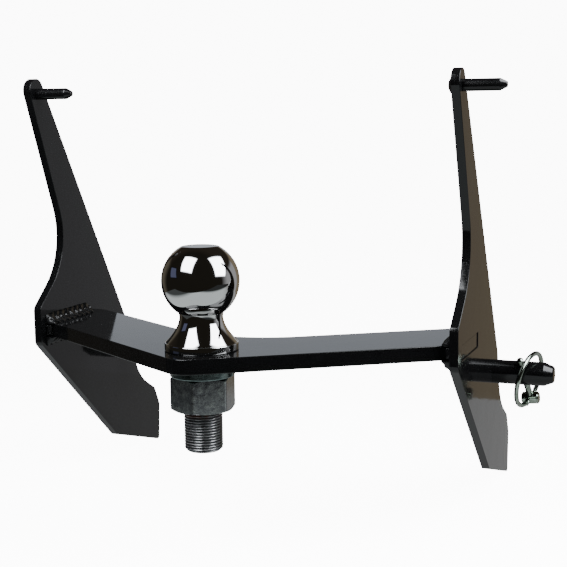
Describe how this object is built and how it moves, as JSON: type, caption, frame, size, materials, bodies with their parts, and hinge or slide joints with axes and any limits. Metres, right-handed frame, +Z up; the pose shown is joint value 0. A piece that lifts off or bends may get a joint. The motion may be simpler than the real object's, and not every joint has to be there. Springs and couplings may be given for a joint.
{
  "type": "trailer hitch with ball",
  "caption": "Slide-on trailer hitch: two side plates with docking pins, a bent crossbar carrying a chrome tow ball, and a lynch pin.",
  "frame": {"origin": "centre of the tow ball", "axes": "+X along the docking pins, the way they point; +Y from the ball towards the vehicle; +Z up, along the ball's shank"},
  "size_m": [0.363, 0.2708, 0.3111],
  "materials": {
    "black_coat": "gloss black powder coat",
    "coated_weld": "gloss black powder coat over a rippled weld bead",
    "black_pin": "gloss black coat on turned steel",
    "chrome_ball": "bright chrome plate",
    "zinc_washer": "dull zinc plate",
    "zinc_nut": "mottled zinc plate",
    "zinc_lynch": "bright zinc plate",
    "zinc_ring": "bright zinc plate on spring wire"
  },
  "bodies": {
    "hitch": {"left_side_plate": "black_coat", "right_side_plate": "black_coat", "crossbar": "black_coat", "left_top_weld": "coated_weld", "left_bottom_weld": "coated_weld", "left_front_weld": "coated_weld", "right_top_weld": "coated_weld", "right_bottom_weld": "coated_weld", "right_front_weld": "coated_weld", "left_upper_pin": "black_pin", "right_upper_pin": "black_pin", "left_lower_pin": "black_pin", "right_lower_pin": "black_pin", "left_upper_pin_weld": "coated_weld", "right_upper_pin_weld": "coated_weld", "left_lower_pin_weld": "coated_weld", "right_lower_pin_weld": "coated_weld", "tow_ball": "chrome_ball", "lock_washer": "zinc_washer", "ball_nut": "zinc_nut"},
    "lynch_pin_body": {"lynch_pin": "zinc_lynch"},
    "lynch_ring_body": {"lynch_ring": "zinc_ring"}
  },
  "joints": [
    {"name": "lynch_slide", "type": "slide", "parent": "hitch", "child": "lynch_pin_body", "axis": [-0.1305, -0.5254, 0.8408], "range_m": [-0.0005, 0.0075]},
    {"name": "ring_swing", "type": "hinge", "parent": "lynch_pin_body", "child": "lynch_ring_body", "pos_m": [0.18311, 0.18335, -0.10556], "axis": [0.3162, 0.7817, 0.5375], "range_deg": [0, 165]}
  ]
}
